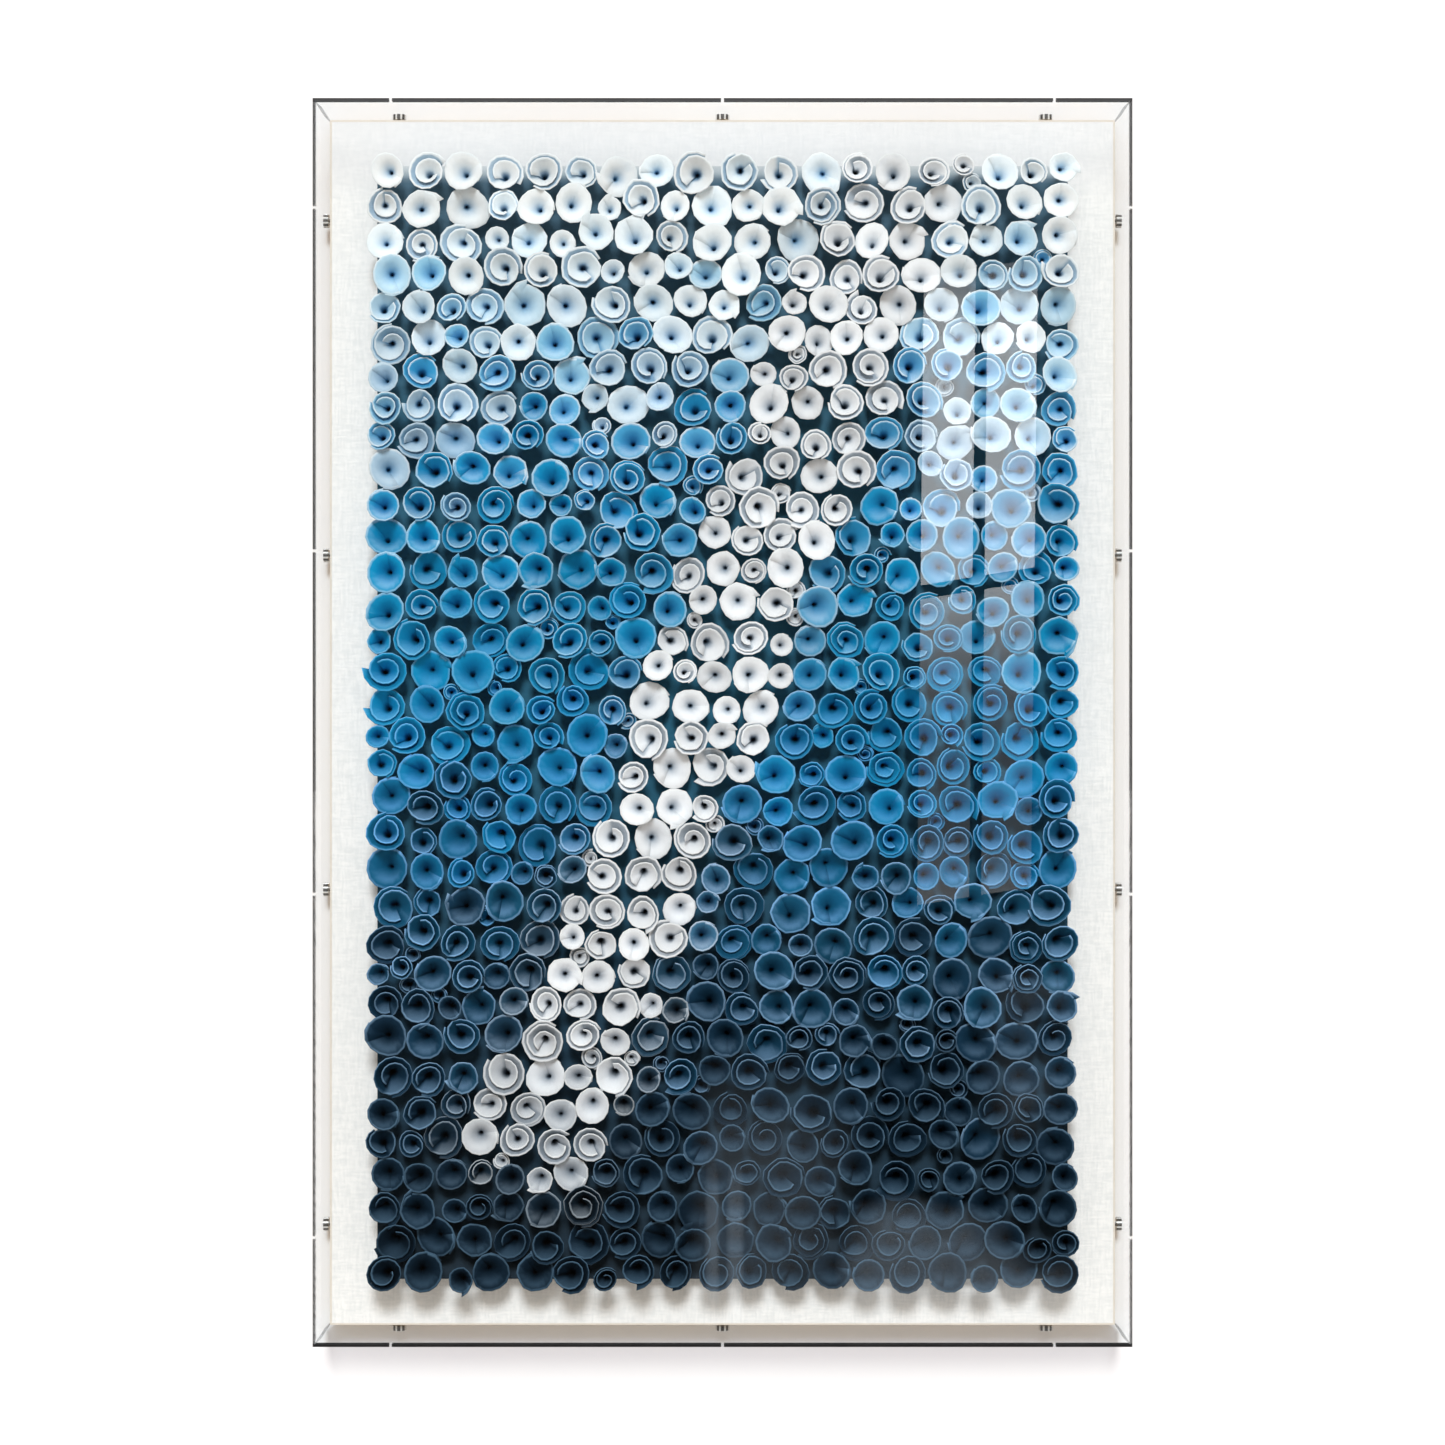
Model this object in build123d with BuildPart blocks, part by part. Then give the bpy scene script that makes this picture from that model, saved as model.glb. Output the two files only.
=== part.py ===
from build123d import *
import math
import os
import random

# Wall-hung shadow box: rolled paper cones on a floating panel behind a clear five-sided cover.
# X runs across, Z up, and the front faces -Y. The origin is the middle of the plane of the wall,
# and depths are measured from that plane towards the front.

# Clear cover
cover_width = 600
cover_height = 914
front_thickness = 5
front_chamfer = 2
wall_thickness = 6
mitre_angle = 45

# Wooden strainer with half-lapped corners, and the bevelled cleat it hangs by
fit_clearance = 0.5
rail_width = 32
strainer_depth = 18
brace_width = 40
cleat_height = 45

# Cloth-faced backing board
board_thickness = 5

# Floating panel on foam risers
panel_margin = 37
panel_thickness = 4
riser_size = 80
riser_thickness = 12
riser_inset = 45
riser_columns = 2
riser_rows = 3

# Screws through the cover's walls into the strainer
end_screw_inset = 57
end_screw_count = 3
side_screw_inset = 80
side_screw_count = 4
head_diameter = 10
head_height = 4
head_recess = 0.2
head_clearance = 0.3
slot_width = 1.4
slot_depth = 1.6
shank_diameter = 4.5
shank_length = 22
shank_clearance = 0.5
point_length = 4
pilot_overrun = 1

# Rolled paper cones, each made from one sheet
long_slant = 30
short_slant = 24
filler_slant = 20
throat_depth = 2.5
rim_radius = 15.6
rim_size_shares = (1, 0.96, 0.92, 0.88, 0.84, 0.8, 0.76, 0.72, 0.68, 0.64, 0.6, 0.56, 0.52)
rim_weight_shares = (6, 11, 13, 13, 11, 8, 6, 5, 4, 4, 3, 3, 2)
filler_shares = (0.56, 0.5, 0.44, 0.38)
filler_sight = 2.8
filler_tries = 4000
rim_gap = 0.3
rim_slack = 0.15
rim_overhang = 6
row_pitch = 24.6
row_end_share = 0.8
row_jitter_share = 0.25
lean_share = 0.32
rolled_share = 0.5
roll_in_share = 0.14
plain_sides = 8
rolled_sides = 6
filler_sides = 5
front_air = 6
settle_rounds = 60
arrangement_seed = 16

# Pale stripe across the cones, from the upper right to the lower left of the field
stripe_top_shares = (0.28, 0.52)
stripe_foot_shares = (-0.28, -0.40)
stripe_width = 92
stripe_groups = 6
row_groups = 34

# Sizes that follow from the ones above
strainer_width = cover_width - 2 * (wall_thickness + fit_clearance)
strainer_height = cover_height - 2 * (wall_thickness + fit_clearance)
stile_centre = (strainer_width - rail_width) / 2
rail_centre = (strainer_height - rail_width) / 2
lap_depth = strainer_depth / 2
screw_depth = strainer_depth / 2
board_front = strainer_depth + board_thickness
panel_back = board_front + riser_thickness
panel_front = panel_back + panel_thickness
panel_width = strainer_width - 2 * panel_margin
panel_height = strainer_height - 2 * panel_margin
field_width = panel_width + 2 * rim_overhang
field_height = panel_height + 2 * rim_overhang
wall_depth = panel_front + long_slant + front_air
bore_depth = head_height + head_recess
rim_radii = [rim_radius * share for share in rim_size_shares]
filler_radii = [rim_radius * share for share in filler_shares]

os.makedirs("parts", exist_ok=True)


def save(piece, name):
    """Label a finished piece and write it under its node's name."""
    piece.label = name
    export_step(piece, f"parts/{name}.step")


def spread(span, inset, count):
    """Even places along a side, the outer ones held in from its ends."""
    reach = span / 2 - inset
    return [reach * (2 * step / (count - 1) - 1) for step in range(count)]


# Screw seats: planes on the outside of each wall, facing out
end_places = spread(cover_width, end_screw_inset, end_screw_count)
side_places = spread(cover_height, side_screw_inset, side_screw_count)
screw_seats = {
    "top": [Plane((x, -screw_depth, cover_height / 2), z_dir=(0, 0, 1)) for x in end_places],
    "bottom": [Plane((x, -screw_depth, -cover_height / 2), z_dir=(0, 0, -1)) for x in end_places],
    "left": [Plane((-cover_width / 2, -screw_depth, z), z_dir=(-1, 0, 0)) for z in side_places],
    "right": [Plane((cover_width / 2, -screw_depth, z), z_dir=(1, 0, 0)) for z in side_places],
}


# Cover: a chamfered front sheet on four mitred walls
with BuildPart() as front_panel:
    with BuildSketch(Plane.XZ.offset(wall_depth)):
        Rectangle(cover_width, cover_height)
    extrude(amount=front_thickness)
    chamfer(front_panel.faces().sort_by(Axis.Y)[0].edges(), length=front_chamfer)
save(front_panel.part, "front_panel")


def cover_wall(side, length, outer_middle, turn):
    """One wall of the cover, mitred at both ends and bored for its screws."""
    with BuildPart() as wall:
        with BuildSketch(Plane.XZ):
            with Locations(outer_middle):
                Trapezoid(
                    length, wall_thickness, mitre_angle, rotation=turn, align=(Align.CENTER, Align.MIN)
                )
        extrude(amount=wall_depth)
        with Locations(*screw_seats[side]):
            CounterBoreHole(
                radius=(shank_diameter + shank_clearance) / 2,
                counter_bore_radius=(head_diameter + head_clearance) / 2,
                counter_bore_depth=bore_depth,
                depth=wall_thickness,
            )
    save(wall.part, f"{side}_wall")


cover_wall("top", cover_width, (0, cover_height / 2), 180)
cover_wall("bottom", cover_width, (0, -cover_height / 2), 0)
cover_wall("left", cover_height, (-cover_width / 2, 0), -90)
cover_wall("right", cover_height, (cover_width / 2, 0), 90)


def pilot_holes(side):
    """Blind holes that the screws cut their threads in."""
    with Locations(*screw_seats[side]):
        Hole(radius=shank_diameter / 2, depth=bore_depth + shank_length + pilot_overrun)


def strainer_stile(side, x):
    """An upright: the front half is cut away at its ends for the rails, the back half for the brace."""
    with BuildPart() as stile:
        with BuildSketch(Plane.XZ):
            with Locations((x, 0)):
                Rectangle(rail_width, strainer_height)
        extrude(amount=strainer_depth)
        with BuildSketch(Plane.XZ.offset(lap_depth)):
            with Locations((x, rail_centre), (x, -rail_centre)):
                Rectangle(rail_width, rail_width)
        extrude(amount=lap_depth, mode=Mode.SUBTRACT)
        with BuildSketch(Plane.XZ):
            with Locations((x, 0)):
                Rectangle(rail_width, brace_width)
        extrude(amount=lap_depth, mode=Mode.SUBTRACT)
        pilot_holes(side)
    save(stile.part, f"strainer_stile_{side}")


def strainer_rail(side, z):
    """A cross rail: the back half is cut away at both ends to lap the stiles."""
    with BuildPart() as rail:
        with BuildSketch(Plane.XZ):
            with Locations((0, z)):
                Rectangle(strainer_width, rail_width)
        extrude(amount=strainer_depth)
        with BuildSketch(Plane.XZ):
            with Locations((-stile_centre, z), (stile_centre, z)):
                Rectangle(rail_width, rail_width)
        extrude(amount=lap_depth, mode=Mode.SUBTRACT)
        pilot_holes(side)
    save(rail.part, f"strainer_rail_{side}")


strainer_stile("left", -stile_centre)
strainer_stile("right", stile_centre)
strainer_rail("top", rail_centre)
strainer_rail("bottom", -rail_centre)

with BuildPart() as strainer_brace:
    with BuildSketch(Plane.XZ):
        Rectangle(strainer_width, brace_width)
    extrude(amount=strainer_depth)
    with BuildSketch(Plane.XZ.offset(lap_depth)):
        with Locations((-stile_centre, 0), (stile_centre, 0)):
            Rectangle(rail_width, brace_width)
    extrude(amount=lap_depth, mode=Mode.SUBTRACT)
save(strainer_brace.part, "strainer_brace")

# Cleat under the top rail: its lower edge hooks down behind a matching bevel on the wall
cleat_length = strainer_width - 2 * (rail_width + fit_clearance)
cleat_top = strainer_height / 2 - rail_width
with BuildPart() as hanging_cleat:
    with BuildSketch(Plane.YZ.offset(-cleat_length / 2)):
        with BuildLine():
            Polyline(
                (0, cleat_top),
                (0, cleat_top - cleat_height),
                (-strainer_depth, cleat_top - cleat_height + strainer_depth),
                (-strainer_depth, cleat_top),
                close=True,
            )
        make_face()
    extrude(amount=cleat_length)
save(hanging_cleat.part, "hanging_cleat")

with BuildPart() as backing_board:
    with BuildSketch(Plane.XZ.offset(strainer_depth)):
        Rectangle(strainer_width, strainer_height)
    extrude(amount=board_thickness)
save(backing_board.part, "backing_board")

# Risers hold the panel off the board, so that it floats in front of its own shadow
with BuildPart() as panel_risers:
    with BuildSketch(Plane.XZ.offset(board_front)):
        with GridLocations(
            (panel_width - riser_size - 2 * riser_inset) / (riser_columns - 1),
            (panel_height - riser_size - 2 * riser_inset) / (riser_rows - 1),
            riser_columns,
            riser_rows,
        ):
            Rectangle(riser_size, riser_size)
    extrude(amount=riser_thickness)
save(panel_risers.part, "panel_risers")

with BuildPart() as art_panel:
    with BuildSketch(Plane.XZ.offset(panel_back)):
        Rectangle(panel_width, panel_height)
    extrude(amount=panel_thickness)
save(art_panel.part, "art_panel")

# One slotted cheese-head screw, turned about Z with the outside of the wall at zero
with BuildPart() as screw:
    with BuildSketch(Plane.XZ):
        with BuildLine():
            Polyline(
                (0, -head_recess),
                (head_diameter / 2, -head_recess),
                (head_diameter / 2, -bore_depth),
                (shank_diameter / 2, -bore_depth),
                (shank_diameter / 2, -bore_depth - shank_length + point_length),
                (0, -bore_depth - shank_length),
                close=True,
            )
        make_face()
    revolve(axis=Axis.Z)
    with BuildSketch(Plane.XY.offset(-head_recess)):
        Rectangle(head_diameter + head_clearance, slot_width)
    extrude(amount=-slot_depth, mode=Mode.SUBTRACT)

with BuildPart() as wall_screws:
    with Locations(*(seat for side in screw_seats.values() for seat in side)):
        add(screw.part)
save(wall_screws.part, "wall_screws")


class Seat:
    """Where one cone's rim stands on the field, how wide it is, how long its sheet is and how it leans."""

    def __init__(self, x, z, radius, slant, draw):
        self.x = x
        self.z = z
        self.radius = radius
        self.slant = slant
        lean = radius * lean_share * math.sqrt(draw.random())
        heading = 2 * math.pi * draw.random()
        self.lean_x = lean * math.cos(heading)
        self.lean_z = lean * math.sin(heading)
        self.neighbours = []

    def height(self):
        return math.sqrt(self.slant**2 - self.radius**2)

    def side(self, way):
        """How far from its tip the rim reaches on one side, and how high the rim is there."""
        height = self.height()
        length = math.hypot(self.lean_x, self.lean_z, height)
        tilt = (self.lean_x * way[0] + self.lean_z * way[1]) / length
        flat = math.sqrt(1 - tilt**2)
        reach = height * tilt + self.radius * flat
        level = (height - self.radius * tilt / flat) * height / length
        return reach, level

    def distance(self, other):
        return math.hypot(other.x - self.x, other.z - self.z)

    def clearance(self, other):
        """The room between two cones at the lower one's rim, and the way from this one to the other."""
        distance = self.distance(other)
        way = ((other.x - self.x) / distance, (other.z - self.z) / distance)
        reach, level = self.side(way)
        other_reach, other_level = other.side((-way[0], -way[1]))
        shared = min(level, other_level)
        parting = (other.lean_x - self.lean_x) * way[0] + (other.lean_z - self.lean_z) * way[1]
        return distance - parting - reach * shared / level - other_reach * shared / other_level, way

    def push_apart(self, other):
        """Move two cones that are too close away from each other by equal steps."""
        room, way = self.clearance(other)
        overlap = rim_gap + rim_slack - room
        if overlap > 0:
            self.x -= way[0] * overlap / 2
            self.z -= way[1] * overlap / 2
            other.x += way[0] * overlap / 2
            other.z += way[1] * overlap / 2

    def keep_inside(self):
        """Hold the rim within the field."""
        reach_x = field_width / 2 - self.radius
        reach_z = field_height / 2 - self.radius
        self.x = max(-reach_x, min(reach_x, self.x))
        self.z = max(-reach_z, min(reach_z, self.z))

    def fits(self):
        """Whether the cone stays in the field and clear of its neighbours."""
        if self.radius > min(field_width / 2 - abs(self.x), field_height / 2 - abs(self.z)):
            return False
        return all(self.clearance(other)[0] >= rim_gap for other in self.neighbours)

    def widen(self, radii):
        """Take the first of the radii that fits, or none."""
        for radius in radii:
            self.radius = radius
            if self.fits():
                return True
        self.radius = 0
        return False


def rough_rows(draw):
    """Rows of cones of mixed widths, each row filled from side to side and then justified."""
    row_total = round(field_height / row_pitch)
    pitch = field_height / row_total
    seats = []
    for row in range(row_total):
        radii = []
        while sum(2 * radius + rim_gap for radius in radii) < field_width - 2 * row_end_share * rim_radius:
            radii += draw.choices(rim_radii, rim_weight_shares)
        spare = (field_width - sum(2 * radius for radius in radii)) / len(radii)
        edge = -field_width / 2
        for radius in radii:
            lift = pitch * draw.uniform(-row_jitter_share, row_jitter_share)
            z = field_height / 2 - (row + 1 / 2) * pitch + lift
            slant = draw.choice((long_slant, short_slant))
            seats.append(Seat(edge + spare / 2 + radius, z, radius, slant, draw))
            edge += spare + 2 * radius
    return seats


def settled_seats(draw):
    """Seats whose cones have moved apart, each then given the widest rim that has room."""
    seats = rough_rows(draw)
    pairs = [
        (seat, other)
        for index, seat in enumerate(seats)
        for other in seats[index + 1:]
        if seat.distance(other) < 4 * rim_radius
    ]
    for seat, other in pairs:
        seat.neighbours.append(other)
        other.neighbours.append(seat)
    for _ in range(settle_rounds):
        for seat, other in pairs:
            seat.push_apart(other)
        for seat in seats:
            seat.keep_inside()
    return [seat for seat in seats if seat.widen(rim_radii)]


def filler_seats(seats, draw):
    """Short narrow cones in the gaps that are left in sight between the rims."""
    fillers = []
    for _ in range(filler_tries):
        x = field_width * draw.uniform(-1 / 2, 1 / 2)
        z = field_height * draw.uniform(-1 / 2, 1 / 2)
        filler = Seat(x, z, filler_radii[0], filler_slant, draw)
        filler.neighbours = [seat for seat in seats + fillers if filler.distance(seat) < 3 * rim_radius]
        in_sight = all(filler.distance(seat) - seat.radius >= filler_sight for seat in filler.neighbours)
        if in_sight and filler.widen(filler_radii):
            fillers.append(filler)
    return fillers


def rim_outline(radius, sides, roll_in):
    """Corners of a rim: a regular polygon, or one turn of a spiral closed by its radial seam."""
    corners = sides + 1 if roll_in else sides
    turns = [step / sides for step in range(corners)]
    return [
        (
            radius * (1 - roll_in * turn) * math.cos(2 * math.pi * turn),
            radius * (1 - roll_in * turn) * math.sin(2 * math.pi * turn),
        )
        for turn in turns
    ]


def paper_cone(seat, sides, roll_in):
    """A hollow paper cone on its tip, thinning to a sharp rim."""
    with BuildPart() as cone:
        with BuildSketch(Plane.XY.offset(seat.height())) as rim:
            with BuildLine():
                Polyline(*rim_outline(seat.radius, sides, roll_in), close=True)
            make_face()
        loft(sections=[rim.sketch, Vertex(0, 0, 0)], ruled=True)
        loft(sections=[rim.sketch, Vertex(0, 0, throat_depth)], ruled=True, mode=Mode.SUBTRACT)
    return cone.part


def cone_plane(seat, draw):
    """The plane that a cone stands on: its tip on the panel, its axis leaning to its rim's middle."""
    turn = 2 * math.pi * draw.random()
    return Plane(
        (seat.x - seat.lean_x, -panel_front, seat.z - seat.lean_z),
        x_dir=(math.cos(turn), 0, math.sin(turn)),
        z_dir=(seat.lean_x, -seat.height(), seat.lean_z),
    )


def stripe_place(seat):
    """How far down the pale stripe a seat lies, from 0 to 1, or None beside it."""
    top = Vector(stripe_top_shares[0] * field_width, stripe_top_shares[1] * field_height)
    run = Vector(stripe_foot_shares[0] * field_width, stripe_foot_shares[1] * field_height) - top
    offset = Vector(seat.x, seat.z) - top
    along = offset.dot(run) / run.dot(run)
    across = (offset - run * along).length
    return along if 0 <= along < 1 and across <= stripe_width / 2 else None


# Cones, grouped by their height on the field, with those of the pale stripe in groups of their own
shuffle = random.Random(arrangement_seed)
main_seats = settled_seats(shuffle)
cone_kinds = {}
groups = {}
for seat in main_seats + filler_seats(main_seats, shuffle):
    place = stripe_place(seat)
    if place is None:
        drop = (field_height / 2 - seat.z) / field_height
        name = f"cone_row_{int(drop * row_groups) + 1:02d}"
    else:
        name = f"stripe_cones_{int(place * stripe_groups) + 1:02d}"
    if seat.slant == filler_slant:
        sides, roll_in = filler_sides, roll_in_share
    elif shuffle.random() < rolled_share:
        sides, roll_in = rolled_sides, roll_in_share
    else:
        sides, roll_in = plain_sides, 0
    kind = (seat.radius, seat.slant, sides)
    if kind not in cone_kinds:
        cone_kinds[kind] = paper_cone(seat, sides, roll_in)
    groups.setdefault(name, {}).setdefault(kind, []).append(cone_plane(seat, shuffle))

for name, kinds in groups.items():
    with BuildPart() as cone_group:
        for kind, planes in kinds.items():
            with Locations(*planes):
                add(cone_kinds[kind])
    save(cone_group.part, name)
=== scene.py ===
"""Rolled paper cones, dyed from white to navy, on a panel in a clear cover that hangs on a wall."""

import math
import random

import bmesh
import bpy
from mathutils import Matrix, Vector


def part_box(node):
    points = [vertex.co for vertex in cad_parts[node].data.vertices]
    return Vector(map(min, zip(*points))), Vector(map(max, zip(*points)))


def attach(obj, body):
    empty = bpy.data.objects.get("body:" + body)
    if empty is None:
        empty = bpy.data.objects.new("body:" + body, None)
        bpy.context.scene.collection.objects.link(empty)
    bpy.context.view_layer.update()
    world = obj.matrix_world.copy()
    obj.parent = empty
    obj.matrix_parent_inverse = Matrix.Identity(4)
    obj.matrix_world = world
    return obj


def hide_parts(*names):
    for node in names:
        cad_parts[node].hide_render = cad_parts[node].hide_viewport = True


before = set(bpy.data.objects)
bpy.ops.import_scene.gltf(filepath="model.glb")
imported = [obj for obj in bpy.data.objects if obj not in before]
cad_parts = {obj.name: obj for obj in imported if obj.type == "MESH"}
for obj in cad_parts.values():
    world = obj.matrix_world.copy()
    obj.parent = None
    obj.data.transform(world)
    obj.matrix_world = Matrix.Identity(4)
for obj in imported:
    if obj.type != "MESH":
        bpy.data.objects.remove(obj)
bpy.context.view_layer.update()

MM = 0.001

# The cover, the board and the panel, read from the frame
COVER_LOW, COVER_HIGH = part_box("front_panel")
HALF_WIDTH = COVER_HIGH[0]
HALF_HEIGHT = COVER_HIGH[2]
FRONT_Y = COVER_LOW[1]
BOARD_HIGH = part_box("backing_board")[1]
PANEL_LOW, PANEL_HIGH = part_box("art_panel")
PANEL_TOP = PANEL_HIGH[2]
PANEL_HEIGHT = PANEL_HIGH[2] - PANEL_LOW[2]

# The screws: three along each end of the cover and four along each side
END_SCREW_INSET = 57 * MM
SIDE_SCREW_INSET = 80 * MM
SIDE_SCREW_GAPS = 3
END_SCREW_REACH = HALF_WIDTH - END_SCREW_INSET
SIDE_SCREW_REACH = HALF_HEIGHT - SIDE_SCREW_INSET
SIDE_SCREW_PITCH = 2 * SIDE_SCREW_REACH / SIDE_SCREW_GAPS
HEAD_RADIUS = 5 * MM
HEAD_FLUTES = 8

# The clear cover: its sheen, the painted dark lines that stand in for the refraction in its edges, with a
# break at each screw, and the grey lines of its mitres
FACE_SHEEN = 0.06
GLANCE_SHEEN = 0.9
GLANCE_POWER = 5
END_LINE_STEPS = (2.3 * MM, 2.9 * MM)
SIDE_LINE_STEPS = (1.6 * MM, 2.6 * MM)
SIDE_LINE_TONE = 0.75
LINE_BREAK_STEPS = (0.8 * MM, 1.5 * MM)
MITRE_STEPS = (0.1 * MM, 0.3 * MM)
MITRE_TONE = 0.5

# The light that the bottom wall of the cover keeps from the wall behind, from none to all along its depth
FOOT_SHADE = "d0d4db"
FOOT_SHADE_STEPS = (-64 * MM, -40 * MM)
BOTTOM_WALL_STEPS = (HALF_HEIGHT - 8 * MM, HALF_HEIGHT - 7 * MM)

# The cloth board: its threads, its raw rim and the painted shade along its top
WEFT_SCALE = (800, 800, 110)
WARP_SCALE = (110, 800, 800)
BOARD_RIM_STEPS = (1.0 * MM, 1.8 * MM)
BOARD_RIM_TONE = 0.6
PAINTED_TOP_SHADE_STEPS = (PANEL_TOP - 30 * MM, PANEL_TOP + 10 * MM)
PAINTED_TOP_SHADE_TONE = 0.5

# How far each finish's noise is stretched, how fine it is, and between which of its levels the tone changes
SMEAR_NOISE = 2.0
FRONT_SMEAR_STRETCH = (3, 3, 1)
WALL_SMEAR_STRETCH = (1, 3, 1)
EDGE_NOISE = 40.0
CEMENT_NOISE = 120.0
WEAVE_STEPS = (0.34, 0.66)
CLOUD_NOISE = 7.0
CLOUD_STEPS = (0.3, 0.8)
RAW_EDGE_STRETCH = (200, 30, 200)
BACK_FIBRE_NOISE = 160.0
FRONT_FACING_STEPS = (-0.6, -0.4)
BACK_FACING_STEPS = (0.4, 0.6)
BRUSH_STRETCH = (8, 8, 60)
BRUSH_NOISE = 3.0
BRUSH_TONE = 0.35
GRAIN_NOISE = 1.6
GRAIN_STEPS = (0.35, 0.75)
GRAIN_TONE = 0.45
RING_NOISE = 0.45
RING_STEPS = (0.2, 0.95)
FOAM_CELLS = 700.0
STEEL_STRETCH = (40, 900, 40)
STEEL_NOISE = 6.0
FLUTE_STEPS = (-0.6, -0.1)
CAP_STEPS = (0.4, 0.6)

# The grain of the pine, and how deep each finish's relief is
PINE_ALONG = 2.2
PINE_ACROSS = 46
PINE_RINGS = 9
WEAVE_RELIEF = 0.15 * MM
BRUSH_RELIEF = 0.2 * MM
GRAIN_RELIEF = 0.25 * MM
CELL_RELIEF = 0.2 * MM
FLUTE_RELIEF = 0.4 * MM
PAPER_RELIEF = 0.12 * MM

# The camera: square on, as far away as the photograph's own perspective says
VIEW_DISTANCE = 2500 * MM
VIEW_HALF_SPAN = 528.3 * MM
SENSOR_WIDTH = 36.0

# The light and the stage
KEY_ELEVATION = math.radians(29)
KEY_STRENGTH = 2.42
KEY_COLOUR = (0.92, 0.955, 1.0)
FRONT_ELEVATION = math.radians(24)
FRONT_STRENGTH = 0.42
KEY_ANGLE = math.radians(13)
BACK_STRENGTH = 1.6
BACK_TURN = (-math.radians(50), 0, math.radians(20))
ROOM_COLOUR = (1.0, 0.88, 0.78, 1.0)
ROOM_STRENGTH = 0.75
ROOM_IN_GLOSS = 0.01
WALL_COLOUR = (0.82, 0.84, 0.875, 1)
FLOOR_COLOUR = (0.93, 0.93, 0.93, 1)
FLOOR_GLOW = 0.1
WALL_GAP = 9 * MM
WALL_HALF_SPAN = 4.0
FLOOR_REACH = 8.0
FLOOR_DROP = 160 * MM

# The window that shows in the gloss of the cover, by the pixels of its panes in the photograph
PIXELS_ACROSS = 1445
PIXEL_CENTRE = PIXELS_ACROSS / 2
PIXEL_SIZE = 2 * VIEW_HALF_SPAN / PIXELS_ACROSS
WINDOW_COLUMNS = ((924, 976), (988, 1038))
WINDOW_TOP = 268
WINDOW_BARS = (577, 591)
WINDOW_FOOT = 897
WINDOW_SLOPE = -0.16
WINDOW_SLANT = -0.0108
WINDOW_DISTANCE = 3.9
WINDOW_STRENGTH = 3.2
SKY_NOISE = 1.5
WINDOW_SHADES = (
    (0.00, "8a8a8a"),
    (0.10, "606060"),
    (0.26, "606060"),
    (0.36, "8c8c8c"),
    (0.46, "d6d6d6"),
    (0.53, "fafafa"),
    (0.90, "ffffff"),
    (1.00, "8a8a8a"),
)

# The dim drape that shows in the gloss low down, by pixels too, and its shades as shares of its own span
DRAPE_LEFT = 680
DRAPE_RIGHT = 1090
DRAPE_TOP = 960
DRAPE_FOOT = 1340
DRAPE_STREAKS = ((0.078, 0.03), (0.135, 0.036))
FOLD_STRETCH = (9, 1, 0.7)
BILLOW_NOISE = 2.6
STREAK_CORE = 0.2
STREAK_TOP_STEPS = (0.3, 0.6)
BANK_TOP_STEPS = (0.17, 0.32)
BANK_LEFT_STEPS = (0.34, 0.46)
BANK_WAVER = 0.7
BANK_TONE = 0.42
HAZE_TOP_STEPS = (0.5, 0.8)
HAZE_RIGHT_STEPS = (0.3, 0.5)
HAZE_STEPS = (0.3, 0.7)
HAZE_TONE = 0.22
SIDE_LEFT_STEPS = (0.7, 0.85)
SIDE_FOOT_STEPS = (0.45, 0.65)
SIDE_STEPS = (0.35, 0.65)
SIDE_TONE = 0.5
DRAPE_SIDE_FADE = (0.4, 0.5)
DRAPE_END_FADE = (0.36, 0.5)
DRAPE_STRENGTH = 2.8

# The paper cones, with each sheet's profile from tip to rim as shares of its reach and its height
SHEET_THICKNESS = 0.7 * MM
COLUMNS_PER_TURN = 14
PLAIN_PROFILE = ((0.02, 0.03), (0.2, 0.42), (0.58, 0.75), (1.0, 1.0))
ROLLED_PROFILE = ((0.02, 0.03), (0.44, 0.64), (0.9, 0.94), (1.0, 1.0))
PLAIN_SHAPES = 12
ROLLED_SHAPES = 18
FLAPPED_SHAPES = (0, 5)
FLAP_REACH = 1.16
FLAP_SHARES = (1.0, 0.35)
WAVER_SHARE = 0.07
PRESS_SHARE = 1.02
# Painted shade: on sheets wound past this many turns, the part of the first turn that lies under the inner
# turns takes the darker throat colour.
COVERED_TURNS = 1.4
UNDER_TURN_SHADE_RISE = 0.38
ROLLED_SHARE = 0.9
MERGE_DISTANCE = 1e-6

# What the sheets and the cones draw at random: ranges, or lists to choose from
SHAPE_SEED = 3
CONE_SEED_GRID = 1e5
CONE_SEED_STEP = 1000003
LOBES = (2, 2, 3, 5)
LIFTS = (-0.1, 0.06)
FUNNEL_OVERLAPS = (0.03, 0.08)
FUNNEL_TURNS = (1.04, 1.2)
CUP_OVERLAPS = (0.06, 0.12)
CUP_INNERS = (0.62, 0.74)
CUP_TURNS = (1.8, 2.1)
CUP_LEANS = (0.06, 0.16)
CUP_DROP_START = 0.85
CUP_DROP_TURN = 0.4
CURL_TURNS = (1.5, 1.7, 1.9, 2.2, 2.5)
CURL_OVERLAPS = (0.1, 0.16)
CURL_INNER = 0.74
CURL_INNER_FALL = 0.28
CURL_INNER_DRIFTS = (-0.06, 0.06)
CURL_LEANS = (0.0, 0.08)
SQUASHES = (0.95, 1.05)
SHADES = (0.88, 1.08)
FADES = (0.6, 1.0)
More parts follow.
